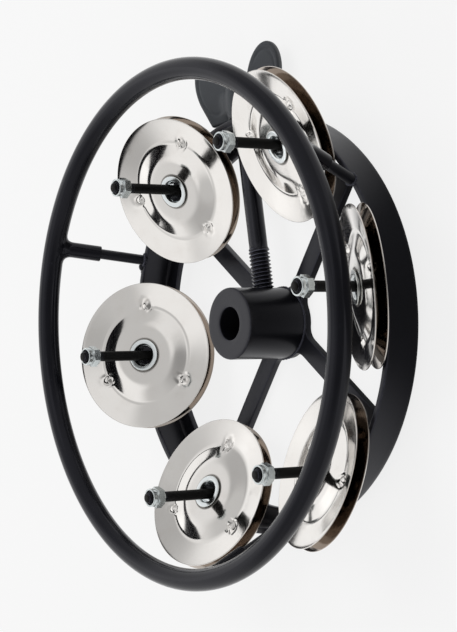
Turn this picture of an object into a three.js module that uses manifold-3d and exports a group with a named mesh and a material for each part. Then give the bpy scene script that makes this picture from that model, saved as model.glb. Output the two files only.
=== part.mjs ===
// Hi-hat tambourine: a steel frame that clamps on the rod of a hi-hat stand, with six loose pairs of
// jingles on long studs. Millimetres. The origin is on the axis of the hub's bore, in the plane of the
// rear face that the frame lies on. +Z runs along the bore to the front ring, and the wing screw lies
// along +Y.

import * as THREE from 'three';
import { mergeVertices } from 'three/addons/utils/BufferGeometryUtils.js';
import Module from 'manifold-3d';

const wasm = await Module();
wasm.setup();

// Clearances
const WELD_GAP = 0.3; // between pieces that are welded or seated on the real object
const SLIDE_GAP = 0.35; // a jingle's hole round its eyelet
const REST_GAP = 0.4; // under a jingle that rests on the hoop's front edge
const CUT_PAST = 1.5; // how far a hole's tool runs past the faces that it cuts

// Spider: the flat cross at the rear that joins hub and hoop
const SPIDER_THICKNESS = 3;
const ARM_COUNT = 4;
const ARM_FIRST_ANGLE = 45;
const ARM_WIDTH = 7.5;
const ARM_ROOT_FILLET = 4;

// Hub
const HUB_RADIUS = 13.3;
const HUB_BORE_RADIUS = 6.1;
const HUB_LENGTH = 24.8;
const HUB_EDGE = 0.7;

// Rear hoop: a rolled angle, its wall forward and its flange inward
const HOOP_RADIUS = 77.8;
const HOOP_WALL = 2.3;
const HOOP_DEPTH = 14.2;
const FLANGE_WIDTH = 8.8;
const FLANGE_THICKNESS = 2.2;
const LUG_RADIUS = 5;

// Studs, each with a nut on its front end
const STUD_COUNT = 6;
const STUD_INSET = 9.5; // stud axis inside the hoop's outer face
const STUD_RADIUS = 1.95;
const STUD_LENGTH = 46.3;
const STUD_CHAMFER = 0.35;
const NUT_SIDES = 6;
const NUT_FLATS = 7;
const NUT_HEX_HEIGHT = 3.4;
const NUT_COLLAR_HEIGHT = 1.8;
const NUT_COLLAR_RADIUS = 3.4;
const NUT_COLLAR_ROUND = 0.5;
const NUT_CAVITY_RADIUS = 2.95;
const NUT_CRIMP = 0.45;
const NUT_FROM_TIP = 0.8;
const INSERT_CLEARANCE = 0.15;

// Front ring: a steel core in a soft black cover, with three sleeves over the stand-off rods
const RING_OVERHANG = 14.2; // ring's centre line outside the hoop's outer face
const RING_STANDOFF = 32.9; // ring's centre line above the hoop's front edge
const RING_COVER_RADIUS = 4.1;
const RING_CORE_RADIUS = 2.1;
const STANDOFF_COUNT = 3;
const STANDOFF_FIRST_ANGLE = 30;
const STANDOFF_RADIUS = 2;
const SLEEVE_WALL = 0.75;
const SLEEVE_LENGTH = 18.5;
const SLEEVE_FLARE = 1.6; // added to the sleeve's radius at its root
const SLEEVE_FLARE_LENGTH = 7.5;
const SLEEVE_END_ROUND = 1;

// Jingle pairs: each disc has a raised flat centre, a valley round it and a brim that rises outwards
const JINGLE_RADIUS = 28.75;
const JINGLE_SHEET = 0.5;
const JINGLE_FLAT_RADIUS = 12.4;
const JINGLE_VALLEY_INNER = 18.6;
const JINGLE_VALLEY_OUTER = 19.9;
const JINGLE_CROWN = 1.4; // flat centre above the valley
const JINGLE_DISH = 1.65; // brim's edge above the valley
const PAIR_GAP = 0.9; // between the two discs' valleys
const LEAN_BESIDE_ARM = 21; // degrees, on the four studs next to an arm
const LEAN_OPEN = 29; // degrees, on the two studs between arms
const BESIDE_ARM = 30; // degrees within which a stud counts as next to an arm
const EYELET_PLAY = 1.95; // round the stud
const EYELET_WALL = 0.5;
const EYELET_LIP_WIDTH = 1.8;
const EYELET_LIP_THICKNESS = 0.5;
const EYELET_LIP_ROUND = 0.3;
const EYELET_END_PLAY = 0.25; // between a lip and the disc under it
const EYELET_FLARE = 0.5; // the bore opens this much at each end
const EYELET_FLARE_DEPTH = 0.8;

// Wing screw
const SCREW_TIP = 0.2; // tip's distance from the axis, as when it holds the rod
const THREAD_RADIUS = 3.97;
const THREAD_ROOT_RADIUS = 3.25;
const THREAD_PITCH = 1.41;
const THREAD_SHOWING = 14.3; // length of thread outside the hub
const SHANK_RADIUS = 3.5;
const HUB_THREAD_CLEARANCE = 0.3;
const HOOP_HOLE_CLEARANCE = 0.6;

// Wing head: two round lobes on a boss
const WING_HOOP_GAP = 0.9; // between the hoop and the wing's base when the screw is home
const WING_BASE_HALF_WIDTH = 14.2;
const WING_LOBE_OFFSET = 12; // lobe centre to the screw's axis
const WING_LOBE_HEIGHT = 13.8; // lobe centre above the base
const WING_LOBE_HALF_LENGTH = 13.3;
const WING_LOBE_HALF_WIDTH = 7.6;
const WING_LOBE_LEAN = 16; // degrees that each lobe leans outwards
const WING_ROOT_HALF_WIDTH = 3; // where the lobes' inner sides meet the boss
const WING_ROOT_HEIGHT = 4;
const WING_THICKNESS = 3;
const WING_TURN = 17; // degrees that the wing stands turned about the screw
const WING_BOSS_WALL = 1.8;
const WING_SOCKET_DEPTH = 10;
const WING_BOSS_END = 3.6; // solid end beyond the socket

// Steps of the round forms
const RING_STEPS = 54;
const RING_SIDES = 10;
const CORE_SIDES = 8;
const HOOP_STEPS = 54;
const JINGLE_STEPS = 24;
const HUB_STEPS = 36;
const SMALL_STEPS = 14;
const ROD_STEPS = 12;
const SPIDER_ARC_STEPS = 6;
const WING_ARC_STEPS = 18;

const rad = THREE.MathUtils.degToRad;

// Levels that several pieces share
const seatLevel = SPIDER_THICKNESS + WELD_GAP;
const hubFront = seatLevel + HUB_LENGTH;
const hoopFront = seatLevel + HOOP_DEPTH;
const hoopInnerRadius = HOOP_RADIUS - HOOP_WALL;
const flangeInnerRadius = HOOP_RADIUS - FLANGE_WIDTH;
const flangeFront = seatLevel + FLANGE_THICKNESS;
const studCircleRadius = HOOP_RADIUS - STUD_INSET;
const studTip = seatLevel + STUD_LENGTH;
const nutFront = studTip - NUT_FROM_TIP;
const collarBase = nutFront - NUT_COLLAR_HEIGHT;
const nutRear = collarBase - NUT_HEX_HEIGHT;
const studHoleRadius = STUD_RADIUS + WELD_GAP;
const ringRadius = HOOP_RADIUS + RING_OVERHANG;
const ringHeight = hoopFront + RING_STANDOFF;
const coreCavityRadius = RING_CORE_RADIUS + WELD_GAP;
const standoffBoreRadius = STANDOFF_RADIUS + WELD_GAP;
const sleeveRadius = standoffBoreRadius + SLEEVE_WALL;
const pairHalfThickness = PAIR_GAP / 2 + JINGLE_DISH + JINGLE_SHEET;
const eyeletBoreRadius = STUD_RADIUS + EYELET_PLAY;
const eyeletBarrelRadius = eyeletBoreRadius + EYELET_WALL;
const eyeletLipRadius = eyeletBarrelRadius + EYELET_LIP_WIDTH;
const screwHeight = seatLevel + HOOP_DEPTH / 2;
const threadEnd = HUB_RADIUS + THREAD_SHOWING;
const wingBase = HOOP_RADIUS + WING_HOOP_GAP;
const socketRadius = SHANK_RADIUS + WELD_GAP;

const frameBlack = { color: 0x1c1c1f, roughness: 0.42, metalness: 0.25 };
const coverBlack = { color: 0x232327, roughness: 0.5, metalness: 0.0 };
const steelGrey = { color: 0x6a6c70, roughness: 0.5, metalness: 0.8 };
const zinc = { color: 0xb9c3c8, roughness: 0.32, metalness: 0.9 };
const nickel = { color: 0xd9d5cd, roughness: 0.16, metalness: 1.0 };
const brightNickel = { color: 0xdfe4e6, roughness: 0.2, metalness: 0.95 };
const nylonBlack = { color: 0x2a2c30, roughness: 0.6, metalness: 0.0 };
const wingBlack = { color: 0x33363b, roughness: 0.55, metalness: 0.1 };

const tambourine = new THREE.Group();

function mesh(name, geometry, finish, parent = tambourine) {
  const piece = new THREE.Mesh(geometry, new THREE.MeshStandardMaterial(finish));
  piece.name = name;
  parent.add(piece);
  return piece;
}

// A closed geometry as a solid that can be joined and cut
function solid(geometry) {
  const bare = geometry.clone();
  bare.deleteAttribute('normal');
  bare.deleteAttribute('uv');
  const merged = mergeVertices(bare, 1e-4);
  const index = merged.index.array;
  const kept = [];
  for (let i = 0; i < index.length; i += 3) {
    const [a, b, c] = [index[i], index[i + 1], index[i + 2]];
    if (a !== b && b !== c && c !== a) kept.push(a, b, c);
  }
  return new wasm.Manifold(new wasm.Mesh({
    numProp: 3,
    vertProperties: new Float32Array(merged.attributes.position.array),
    triVerts: new Uint32Array(kept),
  }));
}

function geometryOf(body) {
  const result = body.getMesh();
  const geometry = new THREE.BufferGeometry();
  geometry.setAttribute('position', new THREE.BufferAttribute(new Float32Array(result.vertProperties), 3));
  geometry.setIndex(new THREE.BufferAttribute(new Uint32Array(result.triVerts), 1));
  geometry.computeVertexNormals();
  return geometry;
}

// A closed outline of [radius, height] points, counter-clockwise, turned about +Z
function turned(outline, steps) {
  const points = [...outline, outline[0]].map(([r, z]) => new THREE.Vector2(r, z));
  return new THREE.LatheGeometry(points, steps).rotateX(Math.PI / 2);
}

// A round bar along +Z between two heights
function bar(radius, from, to, steps) {
  return new THREE.CylinderGeometry(radius, radius, to - from, steps)
    .rotateX(Math.PI / 2)
    .translate(0, 0, (from + to) / 2);
}

// Turns a form made along +Z so that it lies along +Y at a height
function alongY(geometry, height) {
  return geometry.rotateX(-Math.PI / 2).translate(0, 0, height);
}

// Moves a form made at the axis out to a circle of places
function onCircle(geometry, radius, degrees) {
  return geometry
    .translate(radius, 0, 0)
    .rotateZ(rad(degrees));
}

function everyAngle(count, first = 0) {
  return Array.from({ length: count }, (_, i) => first + (360 / count) * i);
}

// Spider

function spiderGeometry() {
  const half = ARM_WIDTH / 2;
  const armEnd = HOOP_RADIUS - FLANGE_WIDTH / 2;
  const root = Math.sqrt(HUB_RADIUS ** 2 - half ** 2);
  const sideAngle = Math.asin(half / HUB_RADIUS);
  const filletAngle = sideAngle + ARM_ROOT_FILLET / HUB_RADIUS;
  const outline = new THREE.Shape();
  const turn = (degrees, x, y) => {
    const a = rad(degrees);
    return [x * Math.cos(a) - y * Math.sin(a), x * Math.sin(a) + y * Math.cos(a)];
  };
  const onHub = (degrees, angle) => {
    return turn(degrees, HUB_RADIUS * Math.cos(angle), HUB_RADIUS * Math.sin(angle));
  };
  const angles = everyAngle(ARM_COUNT, ARM_FIRST_ANGLE);
  outline.moveTo(...onHub(angles[0], -filletAngle));
  for (const a of angles) {
    outline.quadraticCurveTo(...turn(a, root, -half), ...turn(a, root + ARM_ROOT_FILLET, -half));
    outline.lineTo(...turn(a, armEnd, -half));
    outline.lineTo(...turn(a, armEnd, half));
    outline.lineTo(...turn(a, root + ARM_ROOT_FILLET, half));
    outline.quadraticCurveTo(...turn(a, root, half), ...onHub(a, filletAngle));
    outline.absarc(0, 0, HUB_RADIUS, rad(a) + filletAngle, rad(a + 360 / ARM_COUNT) - filletAngle);
  }
  const bore = new THREE.Path();
  bore.absarc(0, 0, HUB_BORE_RADIUS, 0, 2 * Math.PI);
  outline.holes.push(bore);
  return new THREE.ExtrudeGeometry(outline, {
    depth: SPIDER_THICKNESS,
    bevelEnabled: false,
    curveSegments: SPIDER_ARC_STEPS,
  });
}

// Hub, with the threaded hole that the wing screw runs in

function hubGeometry() {
  const tube = solid(turned([
    [HUB_BORE_RADIUS, seatLevel],
    [HUB_RADIUS, seatLevel],
    [HUB_RADIUS, hubFront - HUB_EDGE],
    [HUB_RADIUS - HUB_EDGE, hubFront],
    [HUB_BORE_RADIUS, hubFront],
  ], HUB_STEPS));
  const holeRadius = THREAD_RADIUS + HUB_THREAD_CLEARANCE;
  const hole = solid(alongY(bar(holeRadius, 0, HUB_RADIUS + CUT_PAST, SMALL_STEPS), screwHeight));
  return geometryOf(tube.subtract(hole));
}

// Hoop, with a lug for each stud and a hole for the wing screw

function hoopGeometry() {
  let hoop = solid(turned([
    [flangeInnerRadius, seatLevel],
    [HOOP_RADIUS, seatLevel],
    [HOOP_RADIUS, hoopFront],
    [hoopInnerRadius, hoopFront],
    [hoopInnerRadius, flangeFront],
    [flangeInnerRadius, flangeFront],
  ], HOOP_STEPS));
  for (const a of everyAngle(STUD_COUNT)) {
    const lug = bar(LUG_RADIUS, seatLevel, flangeFront, SMALL_STEPS);
    hoop = hoop.add(solid(onCircle(lug, studCircleRadius, a)));
  }
  for (const a of everyAngle(STUD_COUNT)) {
    const hole = bar(studHoleRadius, seatLevel - CUT_PAST, flangeFront + CUT_PAST, ROD_STEPS);
    hoop = hoop.subtract(solid(onCircle(hole, studCircleRadius, a)));
  }
  const screwHole = bar(
    THREAD_RADIUS + HOOP_HOLE_CLEARANCE,
    hoopInnerRadius - CUT_PAST,
    HOOP_RADIUS + CUT_PAST,
    SMALL_STEPS,
  );
  return geometryOf(hoop.subtract(solid(alongY(screwHole, screwHeight))));
}

// Front ring and its stand-off rods

// From the ring's centre line to the middle of the hoop's front edge
const ringPoint = new THREE.Vector3(ringRadius, 0, ringHeight);
const hoopPoint = new THREE.Vector3(HOOP_RADIUS - HOOP_WALL / 2, 0, hoopFront);
const standoffRun = ringPoint.distanceTo(hoopPoint);
const standoffDirection = hoopPoint.clone().sub(ringPoint).normalize();

// Lays a form made along +Z from the ring towards the hoop, at an angle round the axis
function alongStandoff(geometry, degrees) {
  const turn = new THREE.Quaternion().setFromUnitVectors(new THREE.Vector3(0, 0, 1), standoffDirection);
  return geometry
    .applyQuaternion(turn)
    .translate(ringPoint.x, 0, ringPoint.z)
    .rotateZ(rad(degrees));
}

function ring(tubeRadius, sides) {
  return new THREE.TorusGeometry(ringRadius, tubeRadius, sides, RING_STEPS).translate(0, 0, ringHeight);
}

function ringCoverGeometry() {
  const sleeveOutline = [
    [0, 0],
    [sleeveRadius + SLEEVE_FLARE, 0],
    [sleeveRadius + SLEEVE_FLARE, RING_COVER_RADIUS / Math.SQRT2],
    [sleeveRadius + SLEEVE_FLARE / 3, (RING_COVER_RADIUS + SLEEVE_FLARE_LENGTH) / 2],
    [sleeveRadius, SLEEVE_FLARE_LENGTH],
    [sleeveRadius, SLEEVE_LENGTH - SLEEVE_END_ROUND],
    [sleeveRadius - SLEEVE_END_ROUND / 2, SLEEVE_LENGTH],
    [0, SLEEVE_LENGTH],
  ];
  const angles = everyAngle(STANDOFF_COUNT, STANDOFF_FIRST_ANGLE);
  let cover = solid(ring(RING_COVER_RADIUS, RING_SIDES));
  for (const a of angles) {
    cover = cover.add(solid(alongStandoff(turned(sleeveOutline, ROD_STEPS), a)));
  }
  cover = cover.subtract(solid(ring(coreCavityRadius, CORE_SIDES)));
  for (const a of angles) {
    const bore = bar(standoffBoreRadius, 0, SLEEVE_LENGTH + CUT_PAST, ROD_STEPS);
    cover = cover.subtract(solid(alongStandoff(bore, a)));
  }
  return geometryOf(cover);
}

function standoffGeometry(degrees) {
  const pastEdge = 3 * STANDOFF_RADIUS;
  const blockSide = 8 * STANDOFF_RADIUS;
  const rod = bar(STANDOFF_RADIUS, coreCavityRadius, standoffRun + pastEdge, ROD_STEPS);
  const belowEdge = new THREE.BoxGeometry(blockSide, blockSide, blockSide)
    .translate(hoopPoint.x, 0, hoopFront + WELD_GAP - blockSide / 2)
    .rotateZ(rad(degrees));
  return geometryOf(solid(alongStandoff(rod, degrees)).subtract(solid(belowEdge)));
}

// Studs and nuts

function studGeometry() {
  return turned([
    [0, seatLevel],
    [STUD_RADIUS, seatLevel],
    [STUD_RADIUS, studTip - STUD_CHAMFER],
    [STUD_RADIUS - STUD_CHAMFER, studTip],
    [0, studTip],
  ], ROD_STEPS);
}

function nutGeometry() {
  const cornerRadius = NUT_FLATS / Math.sqrt(3);
  const hexagon = solid(bar(cornerRadius, nutRear, collarBase, NUT_SIDES));
  const collar = solid(turned([
    [0, collarBase - NUT_HEX_HEIGHT / 2],
    [NUT_COLLAR_RADIUS, collarBase - NUT_HEX_HEIGHT / 2],
    [NUT_COLLAR_RADIUS, nutFront - NUT_COLLAR_ROUND],
    [NUT_COLLAR_RADIUS - NUT_COLLAR_ROUND, nutFront],
    [0, nutFront],
  ], SMALL_STEPS));
  const bore = solid(bar(studHoleRadius, nutRear - CUT_PAST, nutFront + CUT_PAST, ROD_STEPS));
  const cavity = solid(bar(
    NUT_CAVITY_RADIUS,
    collarBase - INSERT_CLEARANCE,
    nutFront - NUT_CRIMP,
    ROD_STEPS,
  ));
  return geometryOf(hexagon.add(collar).subtract(bore).subtract(cavity));
}

function insertGeometry() {
  const inner = STUD_RADIUS + INSERT_CLEARANCE;
  const outer = NUT_CAVITY_RADIUS - INSERT_CLEARANCE;
  const front = nutFront - NUT_CRIMP - INSERT_CLEARANCE;
  return turned([[inner, collarBase], [outer, collarBase], [outer, front], [inner, front]], ROD_STEPS);
}

// Jingle pairs, made about their own axis with the pair's middle plane at 0

function jingleGeometry(side) {
  const hole = eyeletBarrelRadius + SLIDE_GAP;
  const valley = PAIR_GAP / 2;
  const inside = [
    [hole, valley + JINGLE_CROWN],
    [JINGLE_FLAT_RADIUS, valley + JINGLE_CROWN],
    [JINGLE_VALLEY_INNER, valley],
    [JINGLE_VALLEY_OUTER, valley],
    [JINGLE_RADIUS, valley + JINGLE_DISH],
  ];
  const outside = inside.map(([r, s]) => [r, s + JINGLE_SHEET]).reverse();
  const disc = turned([...inside, ...outside], JINGLE_STEPS);
  return side > 0 ? disc : disc.rotateX(Math.PI);
}

function eyeletGeometry() {
  const lipBack = PAIR_GAP / 2 + JINGLE_CROWN + JINGLE_SHEET + EYELET_END_PLAY;
  const face = lipBack + EYELET_LIP_THICKNESS;
  const frontHalf = [
    [eyeletBarrelRadius, lipBack],
    [eyeletLipRadius, lipBack],
    [eyeletLipRadius, face - EYELET_LIP_ROUND],
    [eyeletLipRadius - EYELET_LIP_ROUND, face],
    [eyeletBoreRadius + EYELET_FLARE, face],
    [eyeletBoreRadius, face - EYELET_FLARE_DEPTH],
  ];
  const rearHalf = frontHalf.map(([r, s]) => [r, -s]).reverse();
  return turned([...frontHalf, ...rearHalf], SMALL_STEPS);
}

// Height of a pair's centre when its rear brim, leaning inward, lies on the hoop's front inner edge.
// The brim crosses that edge at two places beside the stud.
function restHeight(lean) {
  const tilt = rad(lean);
  let inside = 0;
  let outside = Math.PI / 3;
  for (let i = 0; i < 40; i += 1) {
    const angle = (inside + outside) / 2;
    const across = hoopInnerRadius * Math.sin(angle);
    const outward = (hoopInnerRadius * Math.cos(angle) - studCircleRadius) / Math.cos(tilt);
    if (Math.hypot(across, outward) < JINGLE_RADIUS) inside = angle;
    else outside = angle;
  }
  const reach = hoopInnerRadius * Math.cos(inside) - studCircleRadius;
  return hoopFront + REST_GAP - reach * Math.tan(tilt) + pairHalfThickness / Math.cos(tilt);
}

function nearestArm(degrees) {
  const step = 360 / ARM_COUNT;
  const turnFromArm = (((degrees - ARM_FIRST_ANGLE) % step) + step) % step;
  return Math.min(turnFromArm, step - turnFromArm);
}

function addJinglePair(number, degrees) {
  const lean = nearestArm(degrees) < BESIDE_ARM ? LEAN_BESIDE_ARM : LEAN_OPEN;
  const a = rad(degrees);
  const pair = new THREE.Group();
  pair.position.set(studCircleRadius * Math.cos(a), studCircleRadius * Math.sin(a), restHeight(lean));
  pair.rotation.set(0, -rad(lean), a, 'ZYX');
  tambourine.add(pair);
  mesh(`front_jingle_${number}`, jingleGeometry(1), nickel, pair);
  mesh(`rear_jingle_${number}`, jingleGeometry(-1), nickel, pair);
  mesh(`jingle_eyelet_${number}`, eyeletGeometry(), brightNickel, pair);
}

// Wing screw, made along +Z from the axis outwards

function screwGeometry() {
  const shankEnd = wingBase + WING_SOCKET_DEPTH - WELD_GAP;
  const outline = [[0, SCREW_TIP], [THREAD_ROOT_RADIUS, SCREW_TIP]];
  const crests = Math.floor((threadEnd - SCREW_TIP) / THREAD_PITCH);
  for (let i = 0; i < crests; i += 1) {
    const start = threadEnd - (crests - i) * THREAD_PITCH;
    outline.push([THREAD_RADIUS, start + THREAD_PITCH / 2]);
    outline.push([THREAD_ROOT_RADIUS, start + THREAD_PITCH]);
  }
  outline.push([SHANK_RADIUS, threadEnd + THREAD_PITCH / 2], [SHANK_RADIUS, shankEnd], [0, shankEnd]);
  return alongY(turned(outline, ROD_STEPS), screwHeight);
}

// One lobe's side of the wing, in the wing's own plane: x across, y outwards from the base. It runs from
// the corner of the base round the oval lobe, which both straight sides touch, to the root at the boss.
function lobeOutline() {
  const lean = rad(WING_LOBE_LEAN);
  const centre = new THREE.Vector2(WING_LOBE_OFFSET, WING_LOBE_HEIGHT);
  const along = new THREE.Vector2(Math.sin(lean), Math.cos(lean));
  const across = new THREE.Vector2(Math.cos(lean), -Math.sin(lean));
  const touching = (x, y, side) => {
    const offset = new THREE.Vector2(x, y).sub(centre);
    const onUnit = new THREE.Vector2(
      offset.dot(across) / WING_LOBE_HALF_WIDTH,
      offset.dot(along) / WING_LOBE_HALF_LENGTH,
    );
    return onUnit.angle() + side * Math.acos(Math.min(1, 1 / onUnit.length()));
  };
  const first = touching(WING_BASE_HALF_WIDTH, 0, 1) - 2 * Math.PI;
  const last = touching(WING_ROOT_HALF_WIDTH, WING_ROOT_HEIGHT, -1);
  const points = [new THREE.Vector2(WING_BASE_HALF_WIDTH, 0)];
  for (let i = 0; i <= WING_ARC_STEPS; i += 1) {
    const angle = first + ((last - first) * i) / WING_ARC_STEPS;
    points.push(centre.clone()
      .addScaledVector(across, WING_LOBE_HALF_WIDTH * Math.cos(angle))
      .addScaledVector(along, WING_LOBE_HALF_LENGTH * Math.sin(angle)));
  }
  points.push(new THREE.Vector2(WING_ROOT_HALF_WIDTH, WING_ROOT_HEIGHT));
  return points;
}

function wingOutline() {
  const right = lobeOutline();
  const left = right.map((p) => new THREE.Vector2(-p.x, p.y)).reverse();
  return new THREE.Shape([...right, ...left]);
}

function wingGeometry() {
  const plate = new THREE.ExtrudeGeometry(wingOutline(), {
    depth: WING_THICKNESS,
    bevelEnabled: false,
  }).translate(0, 0, -WING_THICKNESS / 2);
  const bossLength = WING_SOCKET_DEPTH + WING_BOSS_END;
  const boss = alongY(bar(socketRadius + WING_BOSS_WALL, 0, bossLength, SMALL_STEPS), 0);
  const socket = alongY(bar(socketRadius, -CUT_PAST, WING_SOCKET_DEPTH, SMALL_STEPS), 0);
  const head = solid(plate).add(solid(boss)).subtract(solid(socket));
  return geometryOf(head)
    .rotateY(rad(WING_TURN))
    .translate(0, wingBase, screwHeight);
}

// Assembly

mesh('spoke_spider', spiderGeometry(), frameBlack);
mesh('hub', hubGeometry(), frameBlack);
mesh('rear_hoop', hoopGeometry(), frameBlack);
mesh('ring_core', ring(RING_CORE_RADIUS, CORE_SIDES), steelGrey);
mesh('front_ring_cover', ringCoverGeometry(), coverBlack);

everyAngle(STANDOFF_COUNT, STANDOFF_FIRST_ANGLE).forEach((degrees, i) => {
  mesh(`stand_off_rod_${i + 1}`, standoffGeometry(degrees), frameBlack);
});

everyAngle(STUD_COUNT).forEach((degrees, i) => {
  const number = i + 1;
  mesh(`jingle_stud_${number}`, onCircle(studGeometry(), studCircleRadius, degrees), frameBlack);
  mesh(`lock_nut_${number}`, onCircle(nutGeometry(), studCircleRadius, degrees), zinc);
  mesh(`nut_insert_${number}`, onCircle(insertGeometry(), studCircleRadius, degrees), nylonBlack);
  addJinglePair(number, degrees);
});

mesh('wing_screw', screwGeometry(), frameBlack);
mesh('wing_head', wingGeometry(), wingBlack);

export default tambourine;
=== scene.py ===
import math

import bmesh
import bpy
import numpy as np
from mathutils import Matrix, Vector


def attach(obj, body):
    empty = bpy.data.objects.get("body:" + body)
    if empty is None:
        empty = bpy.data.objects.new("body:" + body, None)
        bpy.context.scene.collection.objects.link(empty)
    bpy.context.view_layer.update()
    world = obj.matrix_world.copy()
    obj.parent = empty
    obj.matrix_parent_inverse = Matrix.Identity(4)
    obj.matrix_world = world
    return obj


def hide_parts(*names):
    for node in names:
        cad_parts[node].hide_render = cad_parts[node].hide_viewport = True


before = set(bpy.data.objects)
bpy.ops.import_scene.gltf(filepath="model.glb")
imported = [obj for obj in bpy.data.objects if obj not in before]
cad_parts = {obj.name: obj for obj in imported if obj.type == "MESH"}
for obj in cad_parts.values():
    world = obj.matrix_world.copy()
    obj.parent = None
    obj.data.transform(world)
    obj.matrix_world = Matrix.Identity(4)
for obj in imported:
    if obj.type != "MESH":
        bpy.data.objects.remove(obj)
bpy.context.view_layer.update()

# Hi-hat tambourine: the fine meshes, the finishes, the light and the camera. Lengths are in millimetres
# until a mesh is made, and the frame's origin is on the hub's axis in the plane that the arms lie on.

MM = 0.001

# Hub, arms and hoop
HUB_RADIUS = 13.3
HUB_BORE = 6.1
HUB_EDGE = 0.7
HUB_FRONT = 28.1
SEAT = 3.3
ARM_COUNT = 4
ARM_FIRST = 45
ARM_WIDTH = 7.5
ARM_END = 73.4
ARM_THICKNESS = 3.0
ARM_FILLET = 4.0
STAMPED_EDGE = 0.45
HOOP_RADIUS = 77.8
HOOP_WALL = 2.3
HOOP_FRONT = 17.5
FLANGE_INNER = 69.0
FLANGE_THICKNESS = 2.2
LUG_RADIUS = 5.0
SCREW_HEIGHT = 10.4
HUB_HOLE = 4.27
HUB_HOLE_START = 2.1
HOOP_HOLE = 4.57
HOLE_OVERCUT = 3.0

# Studs and nuts. The tip's chamfer and dome are insets from a stud's side and heights from its tip
STUD_COUNT = 6
STUD_CIRCLE = 68.3
STUD_RADIUS = 1.95
STUD_TIP = 50.2
STUD_TIP_PROFILE = [(0.0, -0.7), (0.3, -0.2), (0.7, 0.0), (1.1, 0.1)]
STUD_THREAD_LENGTH = 9.0
STUD_THREAD_STEPS = 7
STUD_PITCH = 0.7
STUD_THREAD_DEPTH = 0.22
NUT_FLATS = 7.0
NUT_REAR = 43.6
NUT_SHOULDER = 47.0
NUT_FRONT = 48.8
NUT_CHAMFER = 0.42
NUT_SHOULDER_CHAMFER = 0.6
NUT_COLLAR = 3.4
NUT_NECK = 3.12
NUT_BORE = 2.25
NUT_CAVITY = 2.95
INSERT_INNER = 2.1
INSERT_OUTER = 2.8
INSERT_FRONT = 48.2

# Front ring, its sleeves and the stand-off rods
RING_RADIUS = 92.0
RING_HEIGHT = 50.4
COVER_RADIUS = 4.1
CORE_RADIUS = 2.1
ROD_COUNT = 3
ROD_FIRST = 30
ROD_RADIUS = 2.0
ROD_GAP = 0.4
ROD_SINK = 1.2
SLEEVE_RADIUS = 3.05
SLEEVE_LENGTH = 18.5
SLEEVE_START = 5.0
SLEEVE_BLEND = 3.2
SLEEVE_BORE_GAP = 0.3
SLEEVE_BORE_DEPTH = 3.0
SLEEVE_END_ROUND = 1.7
SLEEVE_BLEND_WITHIN = 14.0

# Jingle pairs: each one's degrees of lean, and the height of its centre at that lean
PAIR_LEANS = {1: 29, 2: 21, 3: 21, 4: 29, 5: 21, 6: 21}
PAIR_HEIGHTS = {29: 20.023, 21: 20.097}
JINGLE_RADIUS = 28.75
JINGLE_HOLE = 4.75
JINGLE_SHEET = 0.5
JINGLE_FLAT = 12.4
CROWN_HEIGHT = 1.85
VALLEY_INNER = 18.6
VALLEY_OUTER = 19.9
VALLEY_HEIGHT = 0.45
BRIM_HEIGHT = 2.1
WARP = 0.05
EYELET_BORE = 3.9
EYELET_BARREL = 4.4
EYELET_LIP = 6.2
EYELET_LIP_BACK = 2.6
EYELET_FACE = 3.1
EYELET_FLARE = 0.5
EYELET_FLARE_DEPTH = 0.8

# A disc's face towards the other disc of its pair, as radius, height and rounding
INSIDE_FACE = [
    (JINGLE_HOLE, CROWN_HEIGHT, 0.12), (JINGLE_FLAT, CROWN_HEIGHT, 16), (VALLEY_INNER, VALLEY_HEIGHT, 5),
    (VALLEY_OUTER, VALLEY_HEIGHT, 5), (JINGLE_RADIUS, BRIM_HEIGHT, 0.2),
]

# Bumps along each disc's valley, each in a shallow moat. BUMP_REACH is how far on both sides of the
# valley the disc has closer points, and BUMP_TURNS are the degrees by which each pair's bumps are turned
BUMP_COUNT = 3
BUMP_CIRCLE = 19.6
BUMP_HEIGHT = 0.8
BUMP_WIDTH = 1.104
MOAT_RADIUS = 2.07
MOAT_WIDTH = 0.644
MOAT_DEPTH = 0.24
BUMP_REACH = 3.2
BUMP_TURNS = {1: 10, 2: 95, 3: 56, 4: 22, 5: 73, 6: 40}

# Degrees by which each loose front disc lies off its pair's plane
FRONT_TILTS = {1: -1.0, 2: 0.2, 3: 0.6, 4: -1.2, 5: 0.2, 6: 0.0}

# Wing screw
SCREW_TIP = 0.2
THREAD_CREST = 3.97
THREAD_ROOT = 3.25
THREAD_PITCH = 1.41
THREAD_END = 27.6
THREAD_STEPS = 10
THREAD_STEEPNESS = 1.35
THREAD_LAND = 0.17
SHANK_RADIUS = 3.5
SHANK_END = 88.4
WING_BASE = 78.7
WING_HALF_WIDTH = 14.2
LOBE_OFFSET = 12.0
LOBE_HEIGHT = 13.8
LOBE_HALF_LENGTH = 13.3
LOBE_HALF_WIDTH = 7.6
LOBE_LEAN = 16
ROOT_HALF_WIDTH = 3.0
ROOT_HEIGHT = 4.0
WING_THICKNESS = 3.0
WING_EDGE = 0.9
WING_TURN = 17
BOSS_RADIUS = 5.6
BOSS_LENGTH = 13.6
SOCKET_RADIUS = 3.8
SOCKET_DEPTH = 10.0
SOCKET_OVERCUT = 2.0
RIM_LINE_INSET = 1.9
RIM_LINE_WIDTH = 0.4
RIM_LINE_DEPTH = 0.22

# The fillet between boss and wing: how far it reaches, where it begins and ends along the boss and over
# what lengths it fades, and the remesh and smoothing that come before it
WING_BLEND = 5.0
WING_BLEND_WITHIN = 13.0
WING_BLEND_FROM = 1.2
WING_BLEND_TO = BOSS_LENGTH - 1.5
WING_BLEND_FADE = (2.5, 3.0)
WING_VOXEL = 0.25
WING_SMOOTHINGS = 5

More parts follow.
